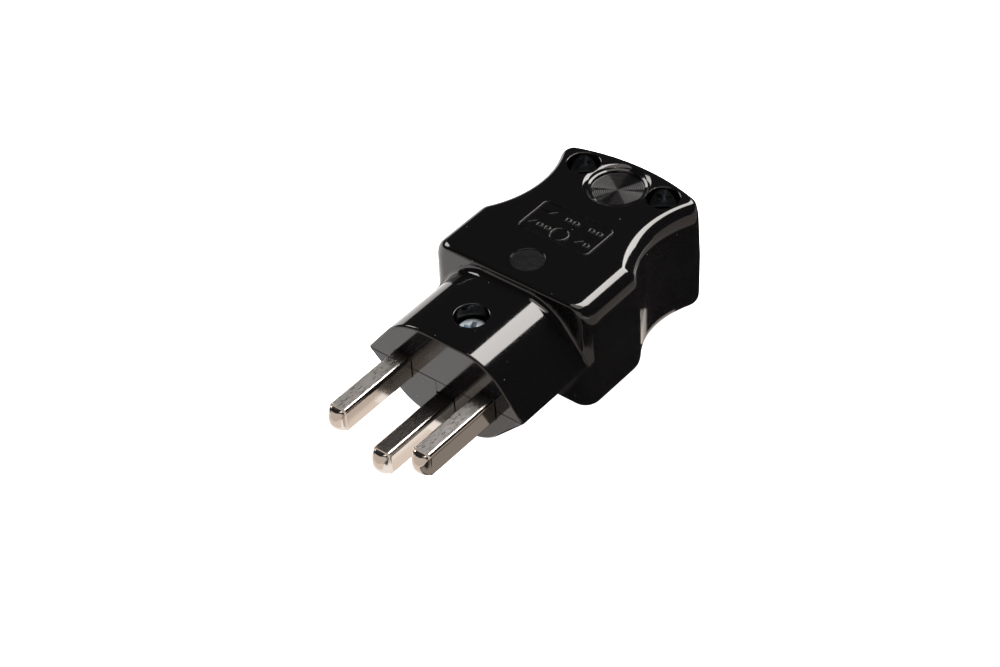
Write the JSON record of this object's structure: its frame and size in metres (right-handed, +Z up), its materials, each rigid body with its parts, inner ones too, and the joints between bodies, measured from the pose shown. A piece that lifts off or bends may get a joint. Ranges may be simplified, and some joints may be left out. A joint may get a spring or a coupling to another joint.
{
  "type": "type j plug",
  "caption": "Rewirable mains plug: a black split shell with a waisted grip and an arched nose, flat rounded pins for line, neutral and offset earth, and a cord inlet at the rear.",
  "frame": {"origin": "middle of the nose face, on the line between the roots of the line and neutral pins", "axes": "+X along the pins, out of the nose; +Y towards the neutral pin; +Z up, away from the earth pin, square to the parting plane"},
  "size_m": [0.0769, 0.0364, 0.024],
  "materials": {
    "shell_black": "moulded thermoset, semi-gloss",
    "clamp_black": "moulded, matt",
    "plated_brass": "nickel-plated brass, lightly scuffed",
    "zinc_steel": "zinc-plated steel, pale bluish",
    "bare_brass": "bare brass"
  },
  "bodies": {
    "root": {"lower_shell": "shell_black", "upper_shell": "shell_black", "line_pin": "plated_brass", "neutral_pin": "plated_brass", "earth_pin": "plated_brass", "line_terminal_screw": "zinc_steel", "neutral_terminal_screw": "zinc_steel", "earth_terminal_screw": "zinc_steel", "line_wire_plate": "bare_brass", "neutral_wire_plate": "bare_brass", "earth_wire_plate": "bare_brass", "cord_clamp": "clamp_black", "cord_clamp_screw_left": "zinc_steel", "cord_clamp_screw_right": "zinc_steel", "clamp_insert_left": "bare_brass", "clamp_insert_right": "bare_brass", "nose_screw": "zinc_steel", "rear_screw_left": "zinc_steel", "rear_screw_right": "zinc_steel", "rear_nut_left": "zinc_steel", "rear_nut_right": "zinc_steel"}
  },
  "joints": []
}
